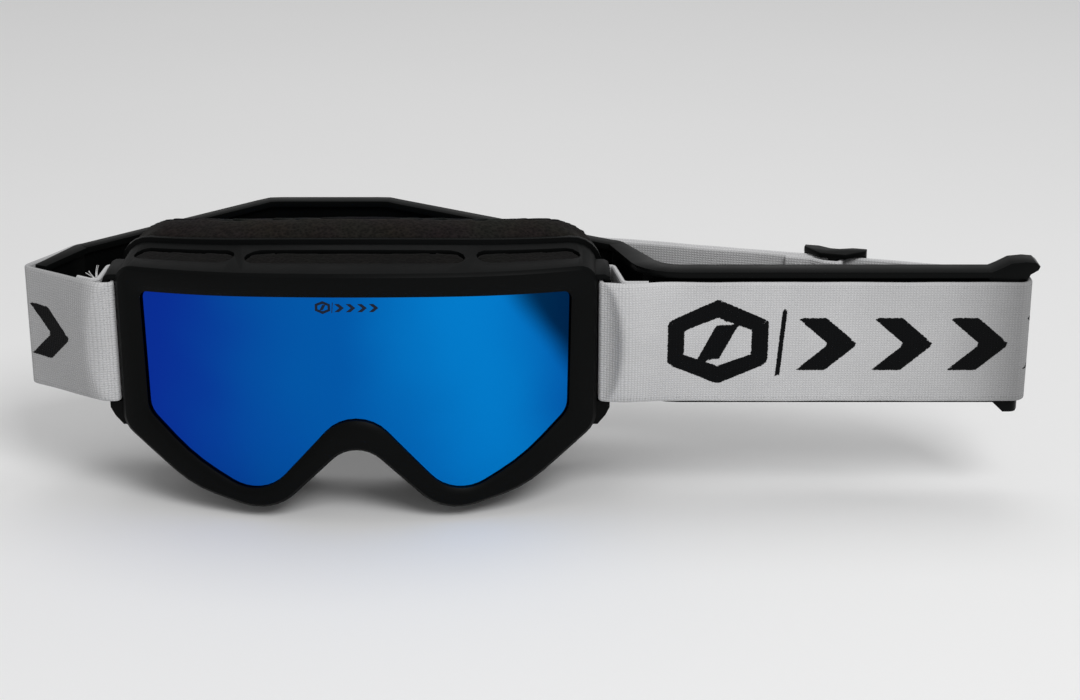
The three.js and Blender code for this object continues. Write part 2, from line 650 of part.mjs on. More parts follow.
// Sewn round the right post, out to the former's right end and back, and in round the ring's near bar.
function strapMainPath() {
  const tail = STRAP_PLANE + LAYER;
  const rise = onBow(RING_X + RING_RISE, LAYER);
  const overBar = onBow(RING_X + RING_TOP, ringOuterLayer);
  const ringBack = atRing(0, ringOuterLayer);
  const ringSide = atRing(0, 0);
  const end = onBow(RING_X + RING_TAIL, 0);
  const turn = FORMER_END_ROUND + TURN_SLACK;
  return [
    [TAIL_END, tail, 1], [TAIL_TURN, tail, 2], [LOOP_OUTER, postBack, 1.6], [slotMiddle, postBack, 1.6],
    [slotMiddle, STRAP_PLANE, 1.1], [wrapX, STRAP_PLANE, turn], [runStart.x, runStart.y, turn],
    [runEnd.x, runEnd.y, 8], [rise.x, rise.y, 4], [overBar.x, overBar.y, 4],
    [ringBack.x, ringBack.y, 1.1], [ringSide.x, ringSide.y, 1.1], [end.x, end.y, 1],
  ];
}

// From the ring back to the adjuster's middle bar under the main length, round the bar, and sewn to itself.
const sliderBarFront = LAYER + STRAP_THICKNESS / 2 + GAP;
function strapReturnPath() {
  const start = onBow(RING_X + RING_TAIL + 2 * GAP, 0);
  const side = SLIDER_MIDDLE_BAR / 2 + GAP + STRAP_THICKNESS / 2;
  const front = sliderBarFront + SLIDER_PLATE + GAP + STRAP_THICKNESS / 2;
  const under = onRun(SLIDER_X + side, -LAYER);
  const over = onRun(SLIDER_X + side, -front);
  const down = onRun(SLIDER_X - side, -front);
  const sewn = onRun(SLIDER_X - side - SEWN_START, -2 * LAYER);
  const end = onRun(SLIDER_X - side - SEWN_END, -2 * LAYER);
  return [
    [start.x, start.y, 1], [bowStart.x, bowStart.y, 8], [under.x, under.y, 1.2], [over.x, over.y, 1.2],
    [down.x, down.y, 2], [sewn.x, sewn.y, 2], [end.x, end.y, 1],
  ];
}

// Sewn round the ring's far bar, along the bow, round the former's tip and sewn round the left post.
function strapLeftPath() {
  const far = atRing(ringSpan, 0);
  const farBack = atRing(ringSpan, ringOuterLayer);
  const mid = onBow(RING_X - LEFT_RISE, ringOuterLayer);
  const low = onBow(RING_X - LEFT_LOW, LAYER);
  const end = onBow(RING_X - LEFT_TAIL, LAYER);
  const tail0 = onLeftRun(LEFT_TAIL_BEND, LAYER);
  const tail1 = onLeftRun(LEFT_TAIL_END, LAYER);
  const bow = [3, 4, 5].map((i) => onFormer[i].slice(0, 2));
  return [
    [end.x, end.y, 1], [low.x, low.y, 4], [mid.x, mid.y, 4], [farBack.x, farBack.y, 1.1], [far.x, far.y, 1.1],
    [...bow[0], 23], [...bow[1], 19], [...bow[2], 7], [...LEFT_TIP, 2.6], [...LEFT_KINK, 5],
    [-slotMiddle, STRAP_PLANE, 1.1], [-slotMiddle, postBack, 1.6], [-LEFT_LOOP_OUTER, postBack, 1.6],
    [tail0.x, tail0.y, 2], [tail1.x, tail1.y, 1],
  ];
}

function strapSolid(path) {
  return ribbon(pathPoints(path), STRAP_THICKNESS, -STRAP_HALF, STRAP_HALF);
}

// ---- hardware -----------------------------------------------------------------------------------

// Upright slab between two lengths along a run and two distances outside it.
function slab(at, u0, u1, v0, v1, z0, z1) {
  const corners = [at(u0, v0), at(u1, v0), at(u1, v1), at(u0, v1)];
  const area = THREE.ShapeUtils.area(corners);
  return extrudeUp(area > 0 ? corners : corners.reverse(), z0, z1);
}

// Moulded slider: two outer bars outside the strap, a middle bar inside it, and rails past the strap's edges.
function adjusterSolid() {
  const rail = STRAP_HALF + EDGE_GAP;
  const top = rail + SLIDER_RAIL;
  const x0 = SLIDER_X - SLIDER_WIDTH / 2;
  const x1 = SLIDER_X + SLIDER_WIDTH / 2;
  const back = STRAP_THICKNESS / 2 + GAP;
  const outside = back + SLIDER_PLATE;
  const tongue = back - SLIDER_TONGUE;
  const front = -sliderBarFront - SLIDER_PLATE;
  const middle0 = SLIDER_X - SLIDER_MIDDLE_BAR / 2;
  const middle1 = SLIDER_X + SLIDER_MIDDLE_BAR / 2;
  const bars = [
    slab(onRun, x0, x0 + SLIDER_BAR, back, outside, -top, top),
    slab(onRun, x1 - SLIDER_BAR, x1, back, outside, -top, top),
    slab(onRun, middle0, middle1, front, -sliderBarFront, -top, top),
  ];
  const arch = [
    [x0, outside], [x0 + SLIDER_HUMP, outside], [middle0, back],
    [middle1, back], [x1 - SLIDER_HUMP, outside], [x1, outside],
    [x1, tongue], [middle1 + SLIDER_SHOULDER, front], [middle0 - SLIDER_SHOULDER, front], [x0, tongue],
  ].map(([x, v]) => onRun(x, v));
  const outline = THREE.ShapeUtils.area(arch) > 0 ? arch : arch.reverse();
  let solid = extrudeUp(outline, rail, top).add(extrudeUp(outline, -top, -rail));
  for (const part of bars) {
    solid = solid.add(part);
  }
  return solid;
}

function ringSolid() {
  const rail = STRAP_HALF + EDGE_GAP;
  const top = rail + RING_BAR;
  const v0 = STRAP_THICKNESS / 2 + GAP;
  const v1 = v0 + RING_PLATE;
  const d0 = -ringSlack;
  const d1 = ringSpan + ringSlack;
  const outer = slab(atRing, d0 - RING_BAR, d1 + RING_BAR, v0, v1, -top, top);
  return outer.subtract(slab(atRing, d0, d1, v0 - 1, v1 + 1, -rail, rail));
}

// Block of thread across a strap, on the surface that lies v outside the middle of the first layer.
function tack(at, u, v) {
  const v0 = v + Math.sign(v) * GAP;
  const v1 = v0 + Math.sign(v) * TACK_PROUD;
  const top = STRAP_HALF - TACK_MARGIN;
  return slab(at, u - TACK_WIDTH / 2, u + TACK_WIDTH / 2, v0, v1, -top, top);
}

// ---- assembly -----------------------------------------------------------------------------------

const MATERIALS = {
  frame: { color: 0x111213, roughness: 0.5, metalness: 0 },
  lens: { color: 0x0b4fd8, roughness: 0.06, metalness: 0.9 },
  foam: { color: 0x1d1a18, roughness: 1, metalness: 0 },
  facing: { color: 0x171717, roughness: 0.95, metalness: 0 },
  strap: { color: 0xcfd0d2, roughness: 0.85, metalness: 0 },
  thread: { color: 0xdadada, roughness: 0.8, metalness: 0 },
  former: { color: 0x131415, roughness: 0.35, metalness: 0 },
  slider: { color: 0x151617, roughness: 0.4, metalness: 0 },
};

const goggles = new THREE.Group();

function addPiece(name, solid, material) {
  const mesh = new THREE.Mesh(toGeometry(solid), new THREE.MeshStandardMaterial(MATERIALS[material]));
  mesh.name = name;
  goggles.add(mesh);
}

addPiece('goggle_frame', frameSolid(), 'frame');
addPiece('lens', lensSolid(), 'lens');
addPiece('face_foam', foamSolid(), 'foam');
addPiece('foam_facing', facingSolid(), 'facing');
const band = ventFoamBand();
for (const [name, x0, x1] of TOP_VENTS) {
  const cut = extrudeUp(ventPlan(x0, x1, VENT_START, VENT_WIDTH, GAP), ...TOP_VENT_HEIGHTS);
  addPiece(`top_vent_foam_${name}`, band.intersect(cut), 'foam');
}
for (const [name, side] of [['left', -1], ['right', 1]]) {
  const [x0, x1] = LOWER_VENT.map((x) => side * x).sort((a, b) => a - b);
  const cut = extrudeUp(ventPlan(x0, x1, LOWER_VENT_START, VENT_WIDTH, GAP), ...LOWER_VENT_HEIGHTS);
  addPiece(`cheek_vent_foam_${name}`, band.intersect(cut), 'foam');
}
addPiece('strap_main', strapSolid(strapMainPath()), 'strap');
addPiece('strap_return', strapSolid(strapReturnPath()), 'strap');
addPiece('strap_left', strapSolid(strapLeftPath()), 'strap');
addPiece('strap_former', formerSolid(), 'former');
addPiece('strap_adjuster', adjusterSolid(), 'slider');
addPiece('strap_ring', ringSolid(), 'slider');

const surface = STRAP_THICKNESS / 2;
const onFrontRun = (x, v) => new THREE.Vector2(x, STRAP_PLANE + v);
addPiece('tack_right', tack(onFrontRun, TACK_RIGHT_X, -surface), 'thread');
addPiece('tack_left', tack(onLeftRun, TACK_LEFT, -surface), 'thread');
addPiece('tack_adjuster', tack(onRun, SLIDER_X - TACK_ADJUSTER, -2 * LAYER - surface), 'thread');
addPiece('tack_ring', tack(onBow, RING_X - TACK_RING, LAYER + surface), 'thread');

goggles.position.y = -PAD_BACK;

export default goggles;
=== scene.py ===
import math

import bmesh
import bpy
from mathutils import Matrix, Vector, noise


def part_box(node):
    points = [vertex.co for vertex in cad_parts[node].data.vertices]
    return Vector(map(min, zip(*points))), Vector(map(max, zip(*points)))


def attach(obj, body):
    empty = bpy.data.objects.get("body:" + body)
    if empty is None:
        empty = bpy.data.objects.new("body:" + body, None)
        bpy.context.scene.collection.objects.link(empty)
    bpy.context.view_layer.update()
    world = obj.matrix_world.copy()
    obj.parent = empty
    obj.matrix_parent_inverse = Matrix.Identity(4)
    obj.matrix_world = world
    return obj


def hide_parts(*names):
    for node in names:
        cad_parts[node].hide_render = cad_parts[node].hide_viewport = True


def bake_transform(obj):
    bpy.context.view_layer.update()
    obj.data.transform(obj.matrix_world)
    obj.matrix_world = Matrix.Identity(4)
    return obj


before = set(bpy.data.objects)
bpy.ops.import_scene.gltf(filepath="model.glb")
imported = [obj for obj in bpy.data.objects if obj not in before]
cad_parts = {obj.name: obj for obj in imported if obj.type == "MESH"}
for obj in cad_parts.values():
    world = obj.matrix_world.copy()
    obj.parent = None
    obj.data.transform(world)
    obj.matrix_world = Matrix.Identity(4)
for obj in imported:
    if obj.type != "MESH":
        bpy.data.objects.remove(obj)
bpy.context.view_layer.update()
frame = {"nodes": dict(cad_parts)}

bl_info = {
    "name": "Motorcycle goggles",
    "version": (1, 0, 0),
    "blender": (4, 5, 0),
    "location": "3D View > Sidebar > Goggles",
    "description": "Builds motorcycle goggles with a woven strap stretched on a moulded former",
    "category": "Object",
}

MM = 0.001

# Routes of the strap's middle in plan: x, y and corner radius in mm, as the frame's own solids lie.
MAIN_ROUTE = [
    (103.5, -21.3, 1.0), (94.6, -21.4, 2.0), (91.6, -2.2, 1.6), (86.8, -2.2, 1.6), (86.8, -22.55, 1.1),
    (95.5, -23.9, 12.0), (108.0, -22.6, 20.0), (239.1, -22.6, 4.0), (239.1, -9.8, 4.0), (98.114, 28.849, 8.0),
    (63.512, 37.549, 4.0), (59.122, 41.23, 4.0), (53.122, 42.739, 1.1), (52.0, 38.278, 1.1), (67.0, 34.506, 1.0),
]
RETURN_ROUTE = [
    (67.6, 34.355, 1.0), (96.5, 27.089, 8.0), (175.145, 5.555, 1.2), (173.929, 1.118, 1.2),
    (168.529, 2.599, 2.0), (164.19, 6.38, 2.0), (155.19, 8.847, 1.0),
]
LEFT_ROUTE = [
    (25.512, 47.103, 1.0), (35.512, 44.589, 4.0), (41.122, 45.756, 4.0), (48.661, 43.86, 1.1),
    (47.539, 39.399, 1.1), (8.161, 49.3, 23.0), (-38.241, 49.3, 19.0), (-107.914, 22.542, 7.0),
    (-121.6, -3.3, 2.6), (-91.6, -22.5, 5.0), (-86.8, -22.6, 1.1), (-86.8, -2.2, 1.6),
    (-91.4, -2.2, 1.6), (-92.321, -19.545, 2.0), (-100.154, -14.532, 1.0),
]
# Where shade is painted onto the straps where they curve away round the former's ends: x, y in mm and how much, 0 to 1.
LONG_STRAP_PAINTED_SHADE = [
    (175.0, -22.6, 0.0), (208.0, -22.6, 0.25), (222.0, -22.6, 0.52), (236.0, -22.6, 0.95), (239.1, -12.0, 0.6),
    (220.0, -4.6, 0.0),
]
SHORT_STRAP_PAINTED_SHADE = [
    (-100.0, 25.6, 0.0), (-119.5, 3.0, 0.45), (-117.0, -6.2, 0.5), (-97.0, -19.1, 0.5), (-89.5, -22.5, 0.0),
]
LENS_RADIUS = 205.0
LENS_MIDDLE = -40.5


# ---- colours and settings ----------------------------------------------------------------------


def linear(code):
    """Linear RGB of an sRGB hex colour."""
    values = []
    for shift in (16, 8, 0):
        c = ((code >> shift) & 255) / 255
        values.append(c / 12.92 if c <= 0.04045 else ((c + 0.055) / 1.055) ** 2.4)
    return values


def colour_setting(name, description, code):
    return bpy.props.FloatVectorProperty(
        name=name, description=description, default=linear(code), size=3, min=0, max=1, subtype="COLOR"
    )


def length_setting(name, description, millimetres):
    return bpy.props.FloatProperty(
        name=name, description=description, default=millimetres * MM, min=0, unit="LENGTH", subtype="DISTANCE"
    )


class GogglesColours(bpy.types.PropertyGroup):
    lens_outer: colour_setting("Lens, right side", "Mirror coating at the wearer's right", 0x0C34A4)
    lens_middle: colour_setting("Lens, middle", "Mirror coating in the middle", 0x0460B6)
    lens_inner: colour_setting("Lens, left side", "Mirror coating at the wearer's left", 0x0484D8)
    frame: colour_setting("Frame", "Moulded frame", 0x070808)
    foam: colour_setting("Foam", "Face foam and vent foam", 0x1C1917)
    facing: colour_setting("Facing", "Fleece against the face", 0x131314)
    webbing: colour_setting("Webbing", "Elastic strap", 0xCFCFD0)
    figure: colour_setting("Woven figure", "Figure woven into the strap", 0x040507)
    thread: colour_setting("Thread", "Sewing thread", 0xE6E6E6)
    former: colour_setting("Former", "Moulded strap former", 0x0B0C0C)
    slider: colour_setting("Adjuster", "Adjuster and ring", 0x0C0D0D)


class GogglesSizes(bpy.types.PropertyGroup):
    strap_width: length_setting("Strap width", "Width of the elastic strap", 45)
    strap_thickness: length_setting("Strap thickness", "Thickness of one strap layer", 1.8)
    selvage: length_setting("Selvage", "Rounded edge of the strap", 0.8)
    rib_pitch: length_setting("Weave pitch", "From one crossways rib to the next", 1.05)
    frame_bevel: length_setting("Frame edges", "Rounding of the frame's moulded edges", 0.45)
    former_bevel: length_setting("Former edges", "Rounding of the former's edges", 0.5)
    slider_bevel: length_setting("Adjuster edges", "Rounding of the adjuster's edges", 0.55)
    foam_voxel: length_setting("Foam detail", "Voxel of the face foam's skin", 1.3)
    stitch_length: length_setting("Stitch", "Length of one stitch", 2.4)


def colours():
    return bpy.context.scene.goggles_colours


def sizes():
    return bpy.context.scene.goggles_sizes


# ---- materials ---------------------------------------------------------------------------------


def add_node(tree, kind, settings=None, links=None):
    """A node with its settings: names of its own properties or of its sockets, and links from other sockets."""
    node = tree.nodes.new(kind)
    for key, value in (settings or {}).items():
        if isinstance(key, str) and hasattr(node, key):
            setattr(node, key, value)
        else:
            node.inputs[key].default_value = value
    for key, socket in (links or {}).items():
        tree.links.new(socket, node.inputs[key])
    return node


def new_material(name):
    material = bpy.data.materials.new(name)
    material.use_nodes = True
    material.node_tree.nodes.clear()
    return material, material.node_tree


def close_material(tree, settings, links):
    """Principled surface and output for a tree whose patterns are ready."""
    shader = add_node(tree, "ShaderNodeBsdfPrincipled", settings, links)
    add_node(tree, "ShaderNodeOutputMaterial", None, {"Surface": shader.outputs["BSDF"]})
    return shader


def rgba(values, factor=1.0):
    return (values[0] * factor, values[1] * factor, values[2] * factor, 1.0)


def moulded_plastic(name, base, roughness, grain_mm, grain_height, specular):
    """Injection-moulded plastic: a fine spark-eroded grain, a faint cloudiness and handling marks in the gloss."""
    material, tree = new_material(name)
    place = add_node(tree, "ShaderNodeTexCoord")
    grain = add_node(
        tree, "ShaderNodeTexNoise", {"Scale": 1 / (grain_mm * MM), "Detail": 3.0, "Roughness": 0.6},
        {"Vector": place.outputs["Object"]},
    )
    cloud = add_node(
        tree, "ShaderNodeTexNoise", {"Scale": 1 / (28 * MM), "Detail": 4.0, "Roughness": 0.55},
        {"Vector": place.outputs["Object"]},
    )
    shade = add_node(
        tree, "ShaderNodeMix", {"data_type": "RGBA", 6: rgba(base, 0.8), 7: rgba(base, 1.25)},
        {0: cloud.outputs["Fac"]},
    )
    gloss = add_node(
        tree, "ShaderNodeMapRange", {"From Min": 0.3, "From Max": 0.7, "To Min": roughness - 0.06, "To Max": roughness + 0.08},
        {"Value": cloud.outputs["Fac"]},
    )
    bump = add_node(
        tree, "ShaderNodeBump", {"Strength": 0.35, "Distance": grain_height * MM}, {"Height": grain.outputs["Fac"]}
    )
    close_material(
        tree, {"IOR": 1.5, "Specular IOR Level": specular},
        {"Base Color": shade.outputs[2], "Roughness": gloss.outputs["Result"], "Normal": bump.outputs["Normal"]},
    )
    return material


def moulded_tpu():
    # Thermoplastic polyurethane, moulded in a spark-eroded tool: near black, soft and matt, with a low sheen.
    return moulded_plastic("moulded_black_TPU", colours().frame, 0.42, 0.55, 0.05, 0.06)


def moulded_abs():
    # ABS, moulded in a plain tool: black with a satin gloss that shows long soft highlights.
    return moulded_plastic("moulded_black_ABS", colours().former, 0.3, 0.8, 0.03, 0.05)


def moulded_acetal():
    # Acetal, moulded: black, smooth and slightly waxy.
    return moulded_plastic("moulded_black_acetal", colours().slider, 0.34, 0.7, 0.03, 0.07)


def mirror_coating():
    # Polycarbonate with a vacuum-deposited mirror: a coloured metal-like reflection that deepens from azure
    # to royal blue across the lens, where the film is thinner.
    material, tree = new_material("mirror_coated_polycarbonate")
    place = add_node(tree, "ShaderNodeTexCoord")
    split = add_node(tree, "ShaderNodeSeparateXYZ", None, {"Vector": place.outputs["Object"]})
    drift = add_node(
        tree, "ShaderNodeTexNoise", {"Scale": 1 / (60 * MM), "Detail": 2.0}, {"Vector": place.outputs["Object"]}
    )
    swing = add_node(
        tree, "ShaderNodeMath", {"operation": "MULTIPLY_ADD", 1: 40 * MM}, {0: drift.outputs["Fac"], 2: split.outputs["X"]}
    )
    along = add_node(
        tree, "ShaderNodeMapRange", {"From Min": -60 * MM, "From Max": 110 * MM, "To Min": 0.0, "To Max": 1.0},
        {"Value": swing.outputs[0]},
    )
    ramp = add_node(tree, "ShaderNodeValToRGB", None, {"Fac": along.outputs["Result"]})
    film = ramp.color_ramp
    film.interpolation = "EASE"
    film.elements[0].position = 0.0
    film.elements[0].color = rgba(colours().lens_outer)
    film.elements[1].position = 0.74
    film.elements[1].color = rgba(colours().lens_inner)
    middle = film.elements.new(0.42)
    middle.color = rgba(colours().lens_middle)
    edge = film.elements.new(1.0)
    edge.color = rgba(colours().lens_middle)
    # Painted reflection: the coating is darkened towards its top right corner, standing for a dark reflection there.
    corner = add_node(
        tree, "ShaderNodeVectorMath", {"operation": "DOT_PRODUCT", 1: (0.823, 0.0, 0.566)},
        {0: place.outputs["Object"]},
    )
    wander = add_node(
        tree, "ShaderNodeMath", {"operation": "MULTIPLY_ADD", 1: 16 * MM}, {0: drift.outputs["Fac"], 2: corner.outputs["Value"]}
    )
    painted_dark_reflection = add_node(
        tree, "ShaderNodeMapRange",
        {"interpolation_type": "SMOOTHSTEP", "From Min": 63 * MM, "From Max": 75 * MM, "To Min": 1.0, "To Max": 0.16},
        {"Value": wander.outputs[0]},
    )
    film_and_painted_reflection = add_node(
        tree, "ShaderNodeVectorMath", {"operation": "SCALE"}, {0: ramp.outputs["Color"], "Scale": painted_dark_reflection.outputs["Result"]}
    )
    ripple = add_node(
        tree, "ShaderNodeTexNoise", {"Scale": 1 / (45 * MM), "Detail": 1.0}, {"Vector": place.outputs["Object"]}
    )
    bump = add_node(
        tree, "ShaderNodeBump", {"Strength": 0.25, "Distance": 0.12 * MM}, {"Height": ripple.outputs["Fac"]}
    )
    smear = add_node(
        tree, "ShaderNodeMapRange", {"To Min": 0.05, "To Max": 0.12}, {"Value": drift.outputs["Fac"]}
    )
    close_material(
        tree, {"Metallic": 1.0},
        {"Base Color": film_and_painted_reflection.outputs[0], "Roughness": smear.outputs["Result"], "Normal": bump.outputs["Normal"]},
    )
    return material


def open_cell_foam(name, brightness):
    # Open-cell polyurethane foam, cut from block: brownish black, no gloss, with a skin of small open cells.
    # The cells are about 0.6 mm and are drawn at 1.2 mm, so that they show.
    material, tree = new_material(name)
    base = [channel * brightness for channel in colours().foam]
    place = add_node(tree, "ShaderNodeTexCoord")
    cells = add_node(
        tree, "ShaderNodeTexVoronoi", {"Scale": 1 / (1.2 * MM), "Randomness": 1.0}, {"Vector": place.outputs["Object"]}
    )
    wisps = add_node(
        tree, "ShaderNodeTexNoise", {"Scale": 1 / (2.2 * MM), "Detail": 5.0, "Roughness": 0.7},
        {"Vector": place.outputs["Object"]},
    )
    dust = add_node(
        tree, "ShaderNodeTexNoise", {"Scale": 1 / (18 * MM), "Detail": 3.0}, {"Vector": place.outputs["Object"]}
    )
    depth = add_node(
        tree, "ShaderNodeMath", {"operation": "MULTIPLY"}, {0: cells.outputs["Distance"], 1: wisps.outputs["Fac"]}
    )
    cell_shade = add_node(
        tree, "ShaderNodeMapRange", {"From Min": 0.0, "From Max": 0.4, "To Min": 0.0, "To Max": 1.0},
        {"Value": depth.outputs[0]},
    )
    skin = add_node(
        tree, "ShaderNodeMix", {"data_type": "RGBA", 6: rgba(base, 0.35), 7: rgba(base, 1.5)},
        {0: cell_shade.outputs["Result"]},
    )
    worn = add_node(
        tree, "ShaderNodeMix", {"data_type": "RGBA", "blend_type": "MULTIPLY", 0: 0.5},
        {6: skin.outputs[2], 7: dust.outputs["Color"]},
    )
    bump = add_node(
        tree, "ShaderNodeBump", {"Strength": 0.9, "Distance": 0.35 * MM}, {"Height": depth.outputs[0]}
    )
    close_material(
        tree, {"Roughness": 1.0, "Specular IOR Level": 0.05, "Sheen Weight": 0.03, "Sheen Roughness": 0.6},
        {"Base Color": worn.outputs[2], "Normal": bump.outputs["Normal"]},
    )
    return material


def brushed_fleece():
    # Knitted polyester, brushed to a short pile: black and soft, with pale fibre ends that catch light at the edges.
    material, tree = new_material("brushed_polyester_fleece")
    base = colours().facing
    place = add_node(tree, "ShaderNodeTexCoord")
    pile = add_node(
        tree, "ShaderNodeTexNoise", {"Scale": 1 / (0.9 * MM), "Detail": 6.0, "Roughness": 0.75, "Distortion": 1.2},
        {"Vector": place.outputs["Object"]},
    )
    nap = add_node(
        tree, "ShaderNodeTexNoise", {"Scale": 1 / (9 * MM), "Detail": 3.0}, {"Vector": place.outputs["Object"]}
    )
    tint = add_node(
        tree, "ShaderNodeMix", {"data_type": "RGBA", 6: rgba(base, 0.5), 7: rgba(base, 2.1)}, {0: pile.outputs["Fac"]}
    )
    brushed = add_node(
        tree, "ShaderNodeMix", {"data_type": "RGBA", "blend_type": "OVERLAY", 0: 0.5},
        {6: tint.outputs[2], 7: nap.outputs["Color"]},
    )
    bump = add_node(
        tree, "ShaderNodeBump", {"Strength": 0.8, "Distance": 0.4 * MM}, {"Height": pile.outputs["Fac"]}
    )
    close_material(
        tree, {"Roughness": 0.95, "Specular IOR Level": 0.05, "Sheen Weight": 0.08, "Sheen Roughness": 0.5},
        {"Base Color": brushed.outputs[2], "Normal": bump.outputs["Normal"]},
    )
    return material


def woven_elastic():
    # Jacquard-woven elastic: polyester over rubber threads, with crossways ribs, lengthways columns and a black
    # figure woven into the face. The ribs give the white a fine canvas look, and the figure a stepped edge.
    material, tree = new_material("woven_polyester_elastic")
    base = colours().webbing
    pitch = sizes().rib_pitch
    place = add_node(tree, "ShaderNodeUVMap", {"uv_map": "weave"})
    ribs = add_node(
        tree, "ShaderNodeTexWave",
        {"wave_type": "BANDS", "bands_direction": "X", "Scale": 0.314 / pitch, "Distortion": 1.0, "Detail": 1.0},
        {"Vector": place.outputs["UV"]},
    )
    columns = add_node(
        tree, "ShaderNodeTexWave",
        {"wave_type": "BANDS", "bands_direction": "Y", "Scale": 0.314 / (0.85 * pitch), "Distortion": 1.2, "Detail": 1.0},
        {"Vector": place.outputs["UV"]},
    )
    yarn = add_node(
        tree, "ShaderNodeTexNoise", {"Scale": 1 / (0.7 * MM), "Detail": 3.0, "Roughness": 0.7},
        {"Vector": place.outputs["UV"]},
    )
    handling = add_node(
        tree, "ShaderNodeTexNoise", {"Scale": 1 / (32 * MM), "Detail": 4.0}, {"Vector": place.outputs["UV"]}
    )
    weave = add_node(
        tree, "ShaderNodeMath", {"operation": "MULTIPLY"}, {0: ribs.outputs["Fac"], 1: columns.outputs["Fac"]}
    )
    relief = add_node(
        tree, "ShaderNodeMath", {"operation": "MULTIPLY_ADD", 1: 0.5}, {0: yarn.outputs["Fac"], 2: weave.outputs[0]}
    )
    shadow = add_node(
        tree, "ShaderNodeMapRange", {"From Min": 0.15, "From Max": 0.85, "To Min": 0.84, "To Max": 1.03},
        {"Value": relief.outputs[0]},
    )
    dust = add_node(
        tree, "ShaderNodeMapRange", {"From Min": 0.3, "From Max": 0.7, "To Min": 0.93, "To Max": 1.03},
        {"Value": handling.outputs["Fac"]},
    )
    edge = add_node(tree, "ShaderNodeAttribute", {"attribute_type": "GEOMETRY", "attribute_name": "selvage"})
    seam = add_node(
        tree, "ShaderNodeMath", {"operation": "COMPARE", 1: 1.7 * MM, 2: 0.35 * MM}, {0: edge.outputs["Fac"]}
    )
    fold = add_node(tree, "ShaderNodeAttribute", {"attribute_type": "GEOMETRY", "attribute_name": "fold"})
    open_weave = add_node(
        tree, "ShaderNodeMath", {"operation": "MAXIMUM"}, {0: seam.outputs[0], 1: fold.outputs["Fac"]}
    )
    hole = add_node(
        tree, "ShaderNodeMapRange", {"From Min": 0.06, "From Max": 0.3, "To Min": 1.0, "To Max": 0.0},
        {"Value": relief.outputs[0]},
    )
    pierced = add_node(
        tree, "ShaderNodeMath", {"operation": "MULTIPLY"}, {0: hole.outputs["Result"], 1: open_weave.outputs[0]}
    )
    pinholes = add_node(
        tree, "ShaderNodeMapRange", {"To Min": 1.0, "To Max": 0.3}, {"Value": pierced.outputs[0]}
    )
    # Painted shade: darkens the strap in the hollow after its slot and where it curves away round the former's ends.
    painted_shade = add_node(tree, "ShaderNodeAttribute", {"attribute_type": "GEOMETRY", "attribute_name": "painted_shade"})
    painted_shade_factor = add_node(
        tree, "ShaderNodeMapRange", {"To Min": 1.0, "To Max": 0.42}, {"Value": painted_shade.outputs["Fac"]}
    )
    # Random dust tone times the painted shade.
    worn = add_node(
        tree, "ShaderNodeMath", {"operation": "MULTIPLY"}, {0: dust.outputs["Result"], 1: painted_shade_factor.outputs["Result"]}
    )
    clean_tone = add_node(
        tree, "ShaderNodeMath", {"operation": "MULTIPLY"}, {0: shadow.outputs["Result"], 1: worn.outputs[0]}
    )
    tone = add_node(
        tree, "ShaderNodeMath", {"operation": "MULTIPLY"}, {0: clean_tone.outputs[0], 1: pinholes.outputs["Result"]}
    )
    white = add_node(tree, "ShaderNodeVectorMath", {"operation": "SCALE", 0: tuple(base)}, {"Scale": tone.outputs[0]})
    figure = add_node(tree, "ShaderNodeAttribute", {"attribute_type": "GEOMETRY", "attribute_name": "figure"})
    ragged = add_node(
        tree, "ShaderNodeMath", {"operation": "MULTIPLY_ADD", 1: 0.9 * MM}, {0: yarn.outputs["Fac"], 2: figure.outputs["Fac"]}
    )
    inside = add_node(
        tree, "ShaderNodeMapRange",
        {"From Min": 0.38 * MM, "From Max": 0.52 * MM, "To Min": 0.0, "To Max": 1.0}, {"Value": ragged.outputs[0]},
    )
    black = add_node(
        tree, "ShaderNodeVectorMath", {"operation": "SCALE", 0: tuple(colours().figure)}, {"Scale": tone.outputs[0]}
    )
    face = add_node(
        tree, "ShaderNodeMix", {"data_type": "RGBA"},
        {0: inside.outputs["Result"], 6: white.outputs[0], 7: black.outputs[0]},
    )
    bump = add_node(
        tree, "ShaderNodeBump", {"Strength": 0.7, "Distance": 0.22 * MM}, {"Height": relief.outputs[0]}
    )
    close_material(
        tree, {"Roughness": 0.85, "Specular IOR Level": 0.12, "Sheen Weight": 0.03, "Sheen Roughness": 0.5},
        {"Base Color": face.outputs[2], "Normal": bump.outputs["Normal"]},
    )
    return material


def polyester_thread():
    # Twisted polyester sewing thread: white with a soft lustre and a fine twist.
    material, tree = new_material("twisted_polyester_thread")
    base = colours().thread
    place = add_node(tree, "ShaderNodeTexCoord")
    twist = add_node(
        tree, "ShaderNodeTexWave",
        {"wave_type": "BANDS", "bands_direction": "DIAGONAL", "Scale": 0.314 / (0.45 * MM), "Distortion": 0.5},
        {"Vector": place.outputs["Object"]},
    )
    tint = add_node(
        tree, "ShaderNodeMix", {"data_type": "RGBA", 6: rgba(base, 0.7), 7: rgba(base, 1.0)}, {0: twist.outputs["Fac"]}
    )
    bump = add_node(
        tree, "ShaderNodeBump", {"Strength": 0.5, "Distance": 0.08 * MM}, {"Height": twist.outputs["Fac"]}
    )
    close_material(
        tree, {"Roughness": 0.55, "Sheen Weight": 0.2},
        {"Base Color": tint.outputs[2], "Normal": bump.outputs["Normal"]},
    )
    return material


# ---- meshes ------------------------------------------------------------------------------------


